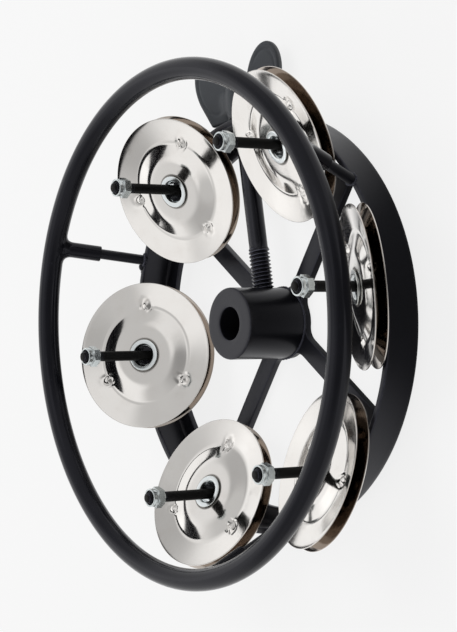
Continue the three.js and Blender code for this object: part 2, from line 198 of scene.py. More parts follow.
# Weld beads, and the lumps at each rod's foot as degrees from the rod, radius, height and size
BEAD_WIDTH = 1.05
BEAD_SPACING = 0.6
BEAD_OVERLAP = 1.7
BEAD_SINK = 0.1
BEAD_UNEVEN = 0.22
BEAD_SEED = 7
LUMPS = [
    [(-1.6, 76.9, 17.5, 0.8), (1.5, 77.1, 17.5, 0.9), (0.4, 78.1, 16.9, 0.8)],
    [(0.6, 77.6, 17.2, 1.8), (2.3, 77.9, 16.6, 1.9), (3.9, 78.1, 15.4, 1.6), (-1.7, 77.0, 17.4, 0.9)],
    [(-1.4, 77.4, 17.1, 1.4), (1.3, 77.9, 16.4, 1.2), (0.2, 78.2, 15.6, 1.1)],
]
LUMP_FLATNESS = 0.8
LUMP_WAVINESS = 0.0012

# Steps round each turned form
RING_STEPS, RING_SIDES = 480, 32
CORE_STEPS, CORE_SIDES = 160, 16
SLEEVE_STEPS = 48
ROD_STEPS = 32
HUB_STEPS = 128
HOOP_STEPS = 360
LUG_STEPS = 48
HOLE_STEPS = 48
STUD_STEPS = 28
NUT_STEPS = 72
INSERT_STEPS = 40
DISC_STEPS = 320
EYELET_STEPS = 72
SCREW_STEPS = 56
BOSS_STEPS = 64
LOBE_STEPS = 64
BORE_STEPS = 64
LUMP_STEPS = 20
BEAD_RUN_STEPS = 20

# Mesh making: share of a side that one rounding may take, an edge that counts as sharp, and blending
CORNER_SHARE = 0.48
EDGE_RADIUS = 0.8
BLEND_ROUNDS = 6
BLEND_STEP = 0.6
LEAST_STEEP = 0.05

# Sockets that share their name with others: a Mix node's colours, and a Random Value node's number
COLOUR_A, COLOUR_B, COLOUR_RESULT = 6, 7, 2
RANDOM_FLOAT = 1

# Camera, in metres and as unit directions
CAMERA_PLACE = (0.5845, -0.1074, 0.4583)
CAMERA_RIGHT = (0.5748, -0.1148, -0.8102)
CAMERA_UP = (0.1890, 0.9820, -0.0051)
CAMERA_BACK = (0.7962, -0.1502, 0.5861)
LENS = 113.64
SENSOR = 36.0

# Room: its level for the camera, for dull surfaces and for metal, and the brighter wall that metal sees
WHITE_GROUND = 0.94
ROOM_LIGHT = 0.50
ROOM_IN_METAL = 0.65
WALL_EDGE = (0.38, 0.74)
WALL_LEVEL = 0.45

# What metal also sees, as a direction, the cosines where it begins and is full, and its level
REFLECTED = [
    ("box at the left", (-0.80, 0.15, 0.58), (0.972, 0.996), 0.25),
    ("box overhead", (-0.27, -0.09, 0.96), (0.955, 0.988), 0.40),
    ("window", (0.26, 0.31, 0.92), (0.965, 0.992), 0.28),
    ("dark side of the camera", (0.80, -0.15, 0.58), (0.70, 0.96), -0.44),
    ("dark corner at the top", (-0.34, 0.68, 0.65), (0.95, 0.985), -0.13),
    ("dark corner below", (-0.36, -0.60, 0.71), (0.95, 0.985), -0.13),
]

# Floor, in metres: its own grey, its glow for the camera, and its level in metal with what lies beside it
FLOOR_HALF = 4.0
FLOOR_HEIGHT = -0.0005
FLOOR_PAPER = 0.10
FLOOR_GLOW = 0.825
FLOOR_DIM = 0.12
FLOOR_LEFT = 1.0
LEFT_FROM = (-0.04, 0.03)
FLOOR_BESIDE = 1.4
BESIDE_FROM = (0.03, 0.10)

# Soft boxes: name, place, aim and size in metres, and power in watts
LAMPS = [
    ("key_box", (-0.25, 0.55, 0.85), (0, 0, 0.02), 0.75, 5.0),
    ("fill_box", (0.15, -0.75, 0.75), (0, 0, 0.02), 0.8, 2.6),
    ("side_box", (-0.9, -0.15, 0.45), (0, 0, 0.02), 0.6, 2.0),
]


# Forms

def rounded(corners, steps=4):
    """A closed outline from corners of (across, up, rounding), each rounded to its own radius."""
    places = np.array([corner[:2] for corner in corners], float)
    outline = []
    for i, (corner, (*_, radius)) in enumerate(zip(places, corners)):
        if radius == 0:
            outline.append(corner)
            continue
        back, ahead = places[i - 1] - corner, places[(i + 1) % len(places)] - corner
        back_length, ahead_length = np.linalg.norm(back), np.linalg.norm(ahead)
        back, ahead = back / back_length, ahead / ahead_length
        half = math.acos(np.clip(back @ ahead, -1, 1)) / 2
        reach = min(radius / math.tan(half), CORNER_SHARE * back_length, CORNER_SHARE * ahead_length)
        for s in np.linspace(0, 1, steps + 1):
            outline.append(corner + back * reach * (1 - s) ** 2 + ahead * reach * s ** 2)
    return np.array(outline)


def denser(outline, step, low=-1e9, high=1e9):
    """The closed outline with points at most step apart, between two radii."""
    points = []
    for here, there in zip(outline, np.roll(outline, -1, axis=0)):
        middle = (here[0] + there[0]) / 2
        count = math.ceil(np.linalg.norm(there - here) / step) if low <= middle <= high else 1
        points.extend(here + (there - here) * i / count for i in range(count))
    return np.array(points)


def lathe(outline, steps, closed=True, shape=None):
    """Points and faces of an outline of (radius, height) turned about Z, where shape changes radii."""
    outline = np.asarray(outline, float)
    turns = np.linspace(0, 2 * math.pi, steps, endpoint=False)[:, None]
    radius = np.repeat(outline[None, :, 0], steps, axis=0)
    height = np.repeat(outline[None, :, 1], steps, axis=0)
    if shape:
        radius = shape(radius, height, turns)
    points = np.stack([radius * np.cos(turns), radius * np.sin(turns), height], axis=-1).reshape(-1, 3)
    count = len(outline)
    faces = []
    for i in range(steps):
        here, there = i * count, (i + 1) % steps * count
        for k in range(count if closed else count - 1):
            ahead = (k + 1) % count
            faces.append((here + k, there + k, there + ahead, here + ahead))
    return points, faces


def torus(radius, tube, height, steps, sides):
    around = np.linspace(0, 2 * math.pi, sides, endpoint=False)
    outline = np.stack([radius + tube * np.cos(around), height + tube * np.sin(around)], axis=1)
    return lathe(outline, steps)


def bar(radius, start, end, steps):
    return lathe([(0, start), (radius, start), (radius, end), (0, end)], steps, closed=False)


def together(*forms):
    """Several forms as one list of points and one of faces."""
    points, faces, count = [], [], 0
    for form_points, form_faces in forms:
        points.append(form_points)
        faces.extend(tuple(i + count for i in face) for face in form_faces)
        count += len(form_points)
    return np.concatenate(points), faces


def moved(form, matrix):
    points, faces = form
    turn = np.array(matrix.to_3x3())
    return points @ turn.T + np.array(matrix.translation), faces


def turn_z(degrees):
    return Matrix.Rotation(math.radians(degrees), 4, "Z")


def along_y(height):
    """Turns a form made along Z so that it lies along Y at a height."""
    return Matrix.Translation((0, 0, height)) @ Matrix.Rotation(math.radians(-90), 4, "X")


def stud_place(number):
    return turn_z((number - 1) * 360 / STUD_COUNT) @ Matrix.Translation((STUD_CIRCLE, 0, 0))


def pair_place(number):
    lean = PAIR_LEANS[number]
    turn = turn_z((number - 1) * 360 / STUD_COUNT)
    place = turn @ Vector((STUD_CIRCLE, 0, PAIR_HEIGHTS[lean]))
    return Matrix.Translation(place) @ turn @ Matrix.Rotation(math.radians(-lean), 4, "Y")


# Meshes and pieces

def cleaned(mesh, near, slivers=False):
    """Merges a mesh's doubled points and turns its faces outwards."""
    work = bmesh.new()
    work.from_mesh(mesh)
    bmesh.ops.remove_doubles(work, verts=work.verts, dist=near)
    if slivers:
        bmesh.ops.dissolve_degenerate(work, dist=1e-8, edges=work.edges)
    bmesh.ops.recalc_face_normals(work, faces=work.faces)
    work.to_mesh(mesh)
    work.free()
    return mesh


def mesh_of(name, form):
    points, faces = form
    mesh = bpy.data.meshes.new(name)
    mesh.from_pydata((points * MM).tolist(), [], faces)
    return cleaned(mesh, 1e-7, slivers=True)


def object_of(name, data):
    made = bpy.data.objects.new(name, data)
    bpy.context.scene.collection.objects.link(made)
    return made


def solid(name, form):
    return object_of(name, mesh_of(name, form))


def evaluated_mesh(obj):
    bpy.context.view_layer.update()
    return bpy.data.meshes.new_from_object(obj.evaluated_get(bpy.context.evaluated_depsgraph_get()))


def settle(obj):
    """Leaves an object with the plain mesh that its modifiers make."""
    mesh = evaluated_mesh(obj)
    obj.modifiers.clear()
    obj.data = mesh


def combine(obj, form, operation):
    """Joins a form to an object, or cuts the object by it."""
    tool = solid(obj.name + "_tool", form)
    cut = obj.modifiers.new("cut", "BOOLEAN")
    cut.operation = operation
    cut.solver = "EXACT"
    cut.object = tool
    settle(obj)
    bpy.data.objects.remove(tool)


def places_of(mesh):
    places = np.zeros(len(mesh.vertices) * 3)
    mesh.vertices.foreach_get("co", places)
    return places.reshape(-1, 3) / MM


def move_points(mesh, places):
    mesh.vertices.foreach_set("co", (places * MM).ravel())
    mesh.update()


def store(mesh, name, values):
    mesh.attributes.new(name, "FLOAT", "POINT").data.foreach_set("value", values)


def mark_edges(mesh):
    """Stores how sharply the surface turns outwards: 0 on flats, 1 on an edge of EDGE_RADIUS or less."""
    count = len(mesh.vertices)
    place, normal = np.zeros(count * 3), np.zeros(count * 3)
    mesh.vertices.foreach_get("co", place)
    mesh.vertex_normals.foreach_get("vector", normal)
    place, normal = place.reshape(-1, 3), normal.reshape(-1, 3)
    ends = np.zeros(len(mesh.edges) * 2, int)
    mesh.edges.foreach_get("vertices", ends)
    first, second = ends.reshape(-1, 2).T
    run = place[second] - place[first]
    bend = ((normal[second] - normal[first]) * run).sum(1) / np.maximum((run ** 2).sum(1), 1e-12)
    total, edges = np.zeros(count), np.zeros(count)
    for side in (first, second):
        np.add.at(total, side, bend)
        np.add.at(edges, side, 1)
    store(mesh, "edge", np.clip(total / np.maximum(edges, 1) * EDGE_RADIUS * MM, 0, 1))


def piece(made, material, body, nodes=(), crease=40):
    """Finishes an object's mesh and puts it in place of its nodes on a body."""
    mesh = made.data
    mesh.materials.clear()
    mesh.materials.append(material)
    mesh.shade_smooth()
    mesh.set_sharp_from_angle(angle=math.radians(crease))
    mark_edges(mesh)
    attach(made, body)
    if nodes:
        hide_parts(*nodes)


# Shading arithmetic

class Value:
    """A shader socket that takes part in plain arithmetic."""

    def __init__(self, graph, socket):
        self.graph = graph
        self.socket = socket

    def maths(self, operation, *operands):
        settings = {"operation": operation}
        return self.graph.node("ShaderNodeMath", settings, dict(enumerate(operands)))

    def __add__(self, other):
        return self.maths("ADD", self, other)

    def __sub__(self, other):
        return self.maths("SUBTRACT", self, other)

    def __rsub__(self, other):
        return self.maths("SUBTRACT", other, self)

    def __mul__(self, other):
        return self.maths("MULTIPLY", self, other)

    def __pow__(self, other):
        return self.maths("POWER", self, other)

    __radd__ = __add__
    __rmul__ = __mul__

    def clamped(self, low, high):
        """0 below low, 1 above high and smooth between."""
        settings = {"interpolation_type": "SMOOTHSTEP"}
        inputs = {"Value": self, "From Min": low, "From Max": high}
        return self.graph.node("ShaderNodeMapRange", settings, inputs)


class Nodes:
    """An empty shader tree, with one call that adds any node to it."""

    def __init__(self, owner):
        owner.use_nodes = True
        self.tree = owner.node_tree
        self.tree.nodes.clear()

    def node(self, kind, settings, inputs, output=0):
        made = self.tree.nodes.new(kind)
        for name, value in settings.items():
            setattr(made, name, value)
        for name, value in inputs.items():
            self.feed(made.inputs[name], value)
        return Value(self, made.outputs[output]) if made.outputs else None

    def feed(self, socket, value):
        if isinstance(value, Value):
            self.tree.links.new(value.socket, socket)
        elif socket.type == "RGBA":
            socket.default_value = (*value[:3], 1)
        else:
            socket.default_value = value

    def rays(self):
        """1 for what the camera sees itself, and 1 for what it sees in metal or through glass."""
        kinds = ("Is Camera Ray", "Is Glossy Ray", "Is Transmission Ray")
        camera, glossy, through = (self.node("ShaderNodeLightPath", {}, {}, kind) for kind in kinds)
        return camera, glossy + through


class Finish(Nodes):
    """A material with one principled shader, whose inputs are set or linked by name."""

    def __init__(self, name):
        self.material = bpy.data.materials.new(name)
        super().__init__(self.material)
        self.shader = self.tree.nodes.new("ShaderNodeBsdfPrincipled")
        output = self.tree.nodes.new("ShaderNodeOutputMaterial")
        self.tree.links.new(self.shader.outputs["BSDF"], output.inputs["Surface"])
        self.place = self.node("ShaderNodeTexCoord", {}, {}, "Object")

    def noise(self, size, detail=3.0, roughness=0.55, stretch=(1, 1, 1)):
        """Soft noise from 0 to 1 with features of about size millimetres."""
        scaled = self.node("ShaderNodeVectorMath", {"operation": "MULTIPLY"}, {0: self.place, 1: stretch})
        inputs = {"Vector": scaled, "Scale": 1 / (size * MM), "Detail": detail, "Roughness": roughness}
        return self.node("ShaderNodeTexNoise", {}, inputs, "Fac")

    def lines(self, along, scale, detail):
        """Noise from 0 to 1 that changes along one value alone."""
        inputs = {"W": along, "Scale": scale, "Detail": detail}
        return self.node("ShaderNodeTexNoise", {"noise_dimensions": "1D"}, inputs)

    def attribute(self, name):
        return self.node("ShaderNodeAttribute", {"attribute_name": name}, {}, "Fac")

    def mixed(self, share, first, second):
        """Colour between first and second by a share from 0 to 1."""
        inputs = {"Factor": share, COLOUR_A: first, COLOUR_B: second}
        return self.node("ShaderNodeMix", {"data_type": "RGBA"}, inputs, COLOUR_RESULT)

    def axes(self):
        inputs = {"Vector": self.place}
        return [self.node("ShaderNodeSeparateXYZ", {}, inputs, axis) for axis in "XYZ"]

    def relief(self, height, depth, strength=1.0, under=None):
        """Bumps of depth millimetres, on top of other bumps."""
        inputs = {"Height": height, "Distance": depth * MM, "Strength": strength}
        if under:
            inputs["Normal"] = under
        return self.node("ShaderNodeBump", {}, inputs)

    def set(self, **inputs):
        for name, value in inputs.items():
            self.feed(self.shader.inputs[name.replace("_", " ")], value)
        return self.material


def grey(level, tint=(1, 1, 1)):
    return tuple(level * part for part in tint)


COOL = (0.92, 0.94, 1.25)
BLUISH = (0.90, 0.90, 1.0)
WARM = (1.04, 1.0, 0.95)


def satin_black(name, dark, wear, roughness, shine):
    """Sprayed black enamel: orange peel, cloudy gloss, dust, and rubbed edges."""
    f = Finish(name)
    cloud = f.noise(14, 4)
    peel = f.noise(0.9, 2)
    grit = f.noise(0.22, 1)
    rub = f.noise(2.2, 5, 0.7)
    worn = (f.attribute("edge") * 1.4 + rub * 0.9 - 0.95).clamped(0.1, 0.7) * wear
    dust = f.noise(0.35, 2, 0.6).clamped(0.68, 0.8) * 0.35
    base = f.mixed(cloud, grey(dark, COOL), grey(dark * 2.1, COOL))
    base = f.mixed(worn, base, grey(0.075, COOL))
    base = f.mixed(dust, base, grey(0.06, WARM))
    gloss = roughness + (cloud - 0.5) * 0.16 + grit * 0.08 + dust * 0.3 - worn * 0.06
    bumps = f.relief(peel, 0.035, 0.5, f.relief(grit, 0.012, 0.4))
    return f.set(Base_Color=base, Roughness=gloss, Normal=bumps,
                 Specular_IOR_Level=shine, Specular_Tint=BLUISH)


def stud_black():
    """Matt black oxide on drawn rod."""
    f = Finish("stud_black")
    cloud = f.noise(6, 4)
    drawn = f.noise(0.5, 3, 0.6, (1, 1, 0.06))
    worn = (f.attribute("edge") + f.noise(1.1, 4, 0.7) - 0.9).clamped(0.1, 0.8) * 0.6
    base = f.mixed(cloud, grey(0.003, WARM), grey(0.007, WARM))
    base = f.mixed(worn, base, grey(0.09, COOL))
    gloss = 0.48 + (cloud - 0.5) * 0.2 - worn * 0.15
    bumps = f.relief(drawn, 0.02, 0.6)
    return f.set(Base_Color=base, Roughness=gloss, Normal=bumps, Specular_IOR_Level=0.15)


def cover_black():
    """Soft vinyl tube: faint lines along the tube, scuffs and a little bloom."""
    f = Finish("cover_black")
    x, y, z = f.axes()
    across = (x * x + y * y) ** 0.5 - RING_RADIUS * MM
    around = f.node("ShaderNodeMath", {"operation": "ARCTAN2"}, {0: z - RING_HEIGHT * MM, 1: across})
    cloud = f.noise(18, 5)
    scuff = f.noise(1.6, 5, 0.7, (1, 1, 0.4)).clamped(0.6, 0.78)
    pores = f.noise(0.28, 2)
    base = f.mixed(cloud, grey(0.0055, COOL), grey(0.012, COOL))
    base = f.mixed(scuff * 0.4, base, grey(0.03, COOL))
    gloss = 0.08 + (cloud - 0.5) * 0.05 + scuff * 0.15 + pores * 0.03
    bumps = f.relief(f.lines(around, 9.0, 4.0), 0.05, 0.5, f.relief(pores, 0.012, 0.35))
    return f.set(Base_Color=base, Roughness=gloss, Normal=bumps,
                 Specular_IOR_Level=0.2, Specular_Tint=BLUISH)


def zinc():
    """Bright zinc plate on turned steel, bluish, with a fine crystal grain."""
    f = Finish("zinc")
    crystals = f.node("ShaderNodeTexVoronoi", {"feature": "F1"},
                      {"Vector": f.place, "Scale": 1 / (0.55 * MM)}, "Distance")
    cloud = f.noise(2.6, 4)
    turned = f.noise(0.16, 2, 0.6, (0.25, 0.25, 1))
    worn = (f.attribute("edge") + cloud - 0.9).clamped(0.2, 0.9)
    base = f.mixed(cloud, (0.42, 0.46, 0.465), (0.66, 0.70, 0.70))
    base = f.mixed(worn * 0.5, base, (0.86, 0.88, 0.88))
    gloss = 0.17 + (cloud - 0.5) * 0.12 + crystals * 0.08 - worn * 0.04
    bumps = f.relief(turned, 0.02, 0.5, f.relief(crystals, 0.02, 0.25))
    return f.set(Base_Color=base, Roughness=gloss, Normal=bumps, Metallic=1.0)


def eyelet_plate():
    """Bright plated brass, a little cooler than the jingles, with brass showing on the rolled edges."""
    f = Finish("eyelet_plate")
    cloud = f.noise(2.0, 4)
    scratch = f.noise(0.3, 3, 0.6, (1, 0.15, 1))
    worn = (f.attribute("edge") + cloud - 1.0).clamped(0.1, 0.8)
    base = f.mixed(cloud, (0.74, 0.79, 0.80), (0.86, 0.89, 0.90))
    base = f.mixed(worn * 0.25, base, (0.72, 0.63, 0.42))
    gloss = 0.16 + (cloud - 0.5) * 0.1 + scratch * 0.06
    bumps = f.relief(scratch, 0.012, 0.5)
    return f.set(Base_Color=base, Roughness=gloss, Normal=bumps, Metallic=1.0)


def nickel():
    """Polished nickel: spun rings, slow waves, hairlines, finger haze, and a painted shade round the
    eyelet's lip.

    The attribute spin is the distance from the disc's axis in metres, and inside is 1 between the discs,
    where the faces get a brown painted shade."""
    f = Finish("nickel")
    radius = f.attribute("spin")
    waves = f.noise(16, 2)
    haze = f.noise(7, 5, 0.65).clamped(0.45, 0.8)
    hairlines = f.noise(0.5, 3, 0.7, (1, 0.08, 0.5)).clamped(0.62, 0.75)
    specks = f.noise(0.5, 2, 0.6).clamped(0.74, 0.82)
    # Painted shade: a dark ring just under and outside the eyelet's lip, where the lip's contact shadow
    # falls, also made rougher
    painted_lip_shade = radius.clamped(5.9 * MM, 6.3 * MM) * (1 - radius.clamped(6.6 * MM, 7.2 * MM))
    base = f.mixed(waves, (0.74, 0.715, 0.69), (0.80, 0.78, 0.75))
    base = f.mixed(haze * 0.35, base, (0.70, 0.66, 0.62))
    base = f.mixed(specks * 0.4, base, (0.32, 0.29, 0.26))
    base = f.mixed(painted_lip_shade * 0.8, base, (0.10, 0.09, 0.08))
    # Painted shade: the faces inside each pair are darkened towards brown, for the dim reflections that the
    # two discs throw on each other
    base = f.mixed(f.attribute("inside") * 0.7, base, (0.36, 0.30, 0.25))
    gloss = 0.09 + haze * 0.07 + hairlines * 0.05 + specks * 0.2 + painted_lip_shade * 0.25
    bumps = f.relief(f.lines(radius, 2600.0, 3.0), 0.003, 0.3, f.relief(waves, 0.05, 0.5))
    return f.set(Base_Color=base, Roughness=gloss, Normal=bumps, Metallic=1.0)


def nylon():
    f = Finish("nylon")
    cloud = f.noise(0.8, 4)
    base = f.mixed(cloud, (0.006, 0.007, 0.009), (0.018, 0.02, 0.024))
    bumps = f.relief(cloud, 0.05, 0.4)
    return f.set(Base_Color=base, Roughness=0.45 + cloud * 0.2, Normal=bumps)


def drawn_steel():
    f = Finish("drawn_steel")
    cloud = f.noise(5, 4)
    fine = f.noise(0.4, 3)
    base = f.mixed(cloud, grey(0.3, COOL), grey(0.48, COOL))
    bumps = f.relief(fine, 0.02, 0.5)
    return f.set(Base_Color=base, Roughness=0.3 + fine * 0.2, Normal=bumps, Metallic=1.0)


def moulding():
    """Fine-grained blue-grey moulding with polished edges."""
    f = Finish("moulding")
    cloud = f.noise(9, 4)
    grain = f.noise(0.32, 3, 0.6)
    worn = (f.attribute("edge") * 1.2 + f.noise(1.5, 5, 0.7) - 0.9).clamped(0.1, 0.8)
    dust = f.noise(0.5, 2, 0.6).clamped(0.7, 0.8) * 0.3
    base = f.mixed(cloud, (0.026, 0.029, 0.034), (0.040, 0.045, 0.052))
    base = f.mixed(worn * 0.35, base, (0.09, 0.10, 0.115))
    base = f.mixed(dust, base, grey(0.14, WARM))
    gloss = 0.44 + (cloud - 0.5) * 0.12 + grain * 0.1 - worn * 0.08
    bumps = f.relief(grain, 0.03, 0.5, f.relief(cloud, 0.25, 0.3))
    return f.set(Base_Color=base, Roughness=gloss, Normal=bumps)


PAINT = satin_black("satin_black", dark=0.0055, wear=0.4, roughness=0.3, shine=0.29)
WELD_PAINT = satin_black("weld_black", dark=0.007, wear=0.6, roughness=0.26, shine=0.3)
HUB_PAINT = satin_black("hub_black", dark=0.0035, wear=0.35, roughness=0.27, shine=0.38)
SCREW_PAINT = satin_black("screw_black", dark=0.0045, wear=0.9, roughness=0.2, shine=0.45)
STUD = stud_black()
COVER = cover_black()
ZINC = zinc()
EYELET = eyelet_plate()
NICKEL = nickel()
NYLON = nylon()
STEEL = drawn_steel()
WING = moulding()


# Smooth blends between two round forms

def blended(points, first, second, reach):
    """Moves points on to the surface where two forms flow into each other.

    first and second take points and give the distance to each form and its direction."""
    points = points.copy()
    for _ in range(BLEND_ROUNDS):
        distance_1, normal_1 = first(points)
        distance_2, normal_2 = second(points)
        share = np.clip(0.5 + 0.5 * (distance_2 - distance_1) / reach, 0, 1)[:, None]
        field = distance_2[:, None] * (1 - share) + distance_1[:, None] * share
        field -= reach * share * (1 - share)
        slope = normal_1 * share + normal_2 * (1 - share)
        steep = np.maximum((slope ** 2).sum(1, keepdims=True), LEAST_STEEP)
        points -= np.clip(field / steep, -BLEND_STEP, BLEND_STEP) * slope
    return points


def from_ring(points):
    """Distance to the ring cover's surface, and its direction."""
    flat = np.linalg.norm(points[:, :2], axis=1, keepdims=True)
    on_ring = points[:, :2] / flat * RING_RADIUS
    offset = points - np.concatenate([on_ring, np.full_like(flat, RING_HEIGHT)], axis=1)
    length = np.linalg.norm(offset, axis=1)
    return length - COVER_RADIUS, offset / np.maximum(length, 1e-9)[:, None]


def from_bar(start, direction, low, high, radius):
    """A function for the distance to a round-ended bar's surface, and its direction."""
    def measure(points):
        offset = points - start
        offset = offset - np.outer(np.clip(offset @ direction, low, high), direction)
        length = np.linalg.norm(offset, axis=1)
        return length - radius, offset / np.maximum(length, 1e-9)[:, None]
    return measure


# Front ring

ring_point = Vector((RING_RADIUS, 0, RING_HEIGHT))
foot_point = Vector((HOOP_RADIUS - HOOP_WALL / 2, 0, HOOP_FRONT))
rod_run = (foot_point - ring_point).length
rod_direction = (foot_point - ring_point).normalized()
ROD_ANGLES = [ROD_FIRST + 360 / ROD_COUNT * i for i in range(ROD_COUNT)]


def rod_place(degrees):
    lay = rod_direction.to_track_quat("Z", "Y").to_matrix().to_4x4()
    return turn_z(degrees) @ Matrix.Translation(ring_point) @ lay


def ring_cover():
    """The soft tube with its three sleeves, which flow out of it."""
    bore = ROD_RADIUS + SLEEVE_BORE_GAP
    bore_end = SLEEVE_LENGTH - SLEEVE_BORE_DEPTH
    outline = rounded([
        (0, 1, 0), (SLEEVE_RADIUS, 1, 0), (SLEEVE_RADIUS, SLEEVE_LENGTH, SLEEVE_END_ROUND),
        (bore, SLEEVE_LENGTH, 0.1), (bore, bore_end, 0), (0, bore_end, 0),
    ])
    sleeve = lathe(denser(outline, 0.45, SLEEVE_RADIUS - 0.01), SLEEVE_STEPS, closed=False)
    made = solid("ring_cover", torus(RING_RADIUS, COVER_RADIUS, RING_HEIGHT, RING_STEPS, RING_SIDES))
    combine(made, together(*(moved(sleeve, rod_place(a)) for a in ROD_ANGLES)), "UNION")
    places = places_of(made.data)
    for degrees in ROD_ANGLES:
        place = rod_place(degrees)
        start = np.array(place.translation)
        direction = np.array(place.to_3x3() @ Vector((0, 0, 1)))
        along = (places - start) @ direction
        beside = np.linalg.norm(places - start - np.outer(along, direction), axis=1)
        near = (beside < SLEEVE_BLEND_WITHIN) & (along > -COVER_RADIUS) & (along < bore_end + 0.5)
        near &= (along < COVER_RADIUS + 1) | (beside > SLEEVE_RADIUS - 0.2)
        surface = from_bar(start, direction, SLEEVE_START, SLEEVE_LENGTH + COVER_RADIUS, SLEEVE_RADIUS)
        places[near] = blended(places[near], from_ring, surface, SLEEVE_BLEND)
    move_points(made.data, places)
    piece(made, COVER, "frame", ["front_ring_cover"])


def ring_core():
    wire = torus(RING_RADIUS, CORE_RADIUS, RING_HEIGHT, CORE_STEPS, CORE_SIDES)
    piece(solid("ring_core_wire", wire), STEEL, "frame", ["ring_core"])


def rods():
    """The stand-off rods. Their last point is left off: the end inside the hoop's wall stays open."""
    start, end = CORE_RADIUS + ROD_GAP, rod_run + ROD_SINK
    outline = rounded([(0, start, 0), (ROD_RADIUS, start, 0.3), (ROD_RADIUS, end, 1.6), (0, end, 0)], 6)
    rod = lathe(denser(outline[:-1], 1.5, ROD_RADIUS - 0.01), ROD_STEPS, closed=False)
    for i, degrees in enumerate(ROD_ANGLES, 1):
        made = solid(f"stand_off_{i}", moved(rod, rod_place(degrees)))
        piece(made, PAINT, "frame", [f"stand_off_rod_{i}"])


# Rear frame

def on_circle(radius, angle):
    return Vector((math.cos(angle), math.sin(angle), 0)) * radius


def spider():
    """The flat cross, with stamped edges, made as a filled outline."""
    half = ARM_WIDTH / 2
    root = math.sqrt(HUB_RADIUS ** 2 - half ** 2)
    side_angle = math.asin(half / HUB_RADIUS) + ARM_FILLET / HUB_RADIUS
    gap = 2 * math.pi / ARM_COUNT - 2 * side_angle
    out, aside = HUB_RADIUS * math.cos(side_angle), HUB_RADIUS * math.sin(side_angle)
    outline = []
    for i in range(ARM_COUNT):
        degrees = ARM_FIRST + 360 / ARM_COUNT * i
        arm = []
        for side in (-1, 1):
            hub_end = Vector((out, side * aside, 0))
            corner, arm_end = Vector((root, side * half, 0)), Vector((root + ARM_FILLET, side * half, 0))
            curve = [hub_end * (1 - s) ** 2 + corner * 2 * s * (1 - s) + arm_end * s ** 2
                     for s in np.linspace(0, 1, 9)]
            tip = [Vector((ARM_END, side * half, 0))]
            arm += curve + tip if side < 0 else tip + curve[::-1]
        outline += [turn_z(degrees) @ p for p in arm]
        start = math.radians(degrees) + side_angle
        outline += [on_circle(HUB_RADIUS, start + gap * s) for s in np.linspace(0, 1, 12)[1:-1]]
    bore = [on_circle(HUB_BORE, a) for a in np.linspace(0, -2 * math.pi, BORE_STEPS, False)]
    made = plate("cross_plate", [outline, bore], ARM_THICKNESS, STAMPED_EDGE)
    made.data.transform(Matrix.Translation((0, 0, ARM_THICKNESS / 2 * MM)))
    piece(made, PAINT, "frame", ["spoke_spider"])


def plate(name, outlines, thickness, edge):
    """A flat plate with rounded edges, from closed outlines in its middle plane."""
    curve = bpy.data.curves.new(name, "CURVE")
    curve.dimensions = "2D"
    curve.fill_mode = "BOTH"
    curve.extrude = (thickness / 2 - edge) * MM
    curve.bevel_depth = edge * MM
    curve.bevel_resolution = 3
    curve.offset = -edge * MM
    for outline in outlines:
        spline = curve.splines.new("POLY")
        spline.points.add(len(outline) - 1)
        for point, place in zip(spline.points, outline):
            point.co = (place[0] * MM, place[1] * MM, 0, 1)
        spline.use_cyclic_u = True
    source = object_of(name + "_outline", curve)
    mesh = evaluated_mesh(source)
    bpy.data.objects.remove(source)
    return object_of(name, cleaned(mesh, 1e-6))


def hub():
    outline = rounded([
        (HUB_BORE, SEAT, 0.3), (HUB_RADIUS, SEAT, 0.5), (HUB_RADIUS, HUB_FRONT, HUB_EDGE),
        (HUB_BORE, HUB_FRONT, 0.6),
    ])
    made = solid("hub_tube", lathe(denser(outline, 1.6), HUB_STEPS))
    hole = bar(HUB_HOLE, HUB_HOLE_START, HUB_RADIUS + HOLE_OVERCUT, HOLE_STEPS)
    combine(made, moved(hole, along_y(SCREW_HEIGHT)), "DIFFERENCE")
    piece(made, HUB_PAINT, "frame", ["hub"])


def hoop():
    """The rolled angle, with a lug under each stud and the hole for the wing screw."""
    inner = HOOP_RADIUS - HOOP_WALL
    flange = SEAT + FLANGE_THICKNESS
    outline = rounded([
        (FLANGE_INNER, SEAT, 0.5), (HOOP_RADIUS, SEAT, 2.0), (HOOP_RADIUS, HOOP_FRONT, 0.6),
        (inner, HOOP_FRONT, 0.6), (inner, flange, 1.2), (FLANGE_INNER, flange, 0.5),
    ])
    made = solid("hoop_angle", lathe(denser(outline, 1.4), HOOP_STEPS))
    lug_outline = rounded([(0, SEAT, 0), (LUG_RADIUS, SEAT, 0.5), (LUG_RADIUS, flange, 0.5), (0, flange, 0)])
    lug = lathe(lug_outline, LUG_STEPS, closed=False)
    combine(made, together(*(moved(lug, stud_place(n + 1)) for n in range(STUD_COUNT))), "UNION")
    hole = bar(HOOP_HOLE, inner - HOLE_OVERCUT, HOOP_RADIUS + HOLE_OVERCUT, HOLE_STEPS)
    combine(made, moved(hole, along_y(SCREW_HEIGHT)), "DIFFERENCE")
    piece(made, PAINT, "frame", ["rear_hoop"])


# Studs and nuts

def thread(crest, root, pitch, start, end):
    """A shape that cuts a helical thread between two heights, fading out at both."""
    def shape(radius, height, turns):
        wave = np.abs(((height / pitch - turns / (2 * math.pi)) % 1) * 2 - 1)
        profile = np.clip(wave * THREAD_STEEPNESS - THREAD_LAND, 0, 1)
        fade = np.clip((height - start) / pitch, 0, 1) * np.clip((end - height) / pitch, 0, 1)
        return np.where(radius > root, radius - (crest - root) * profile * fade, radius)
    return shape


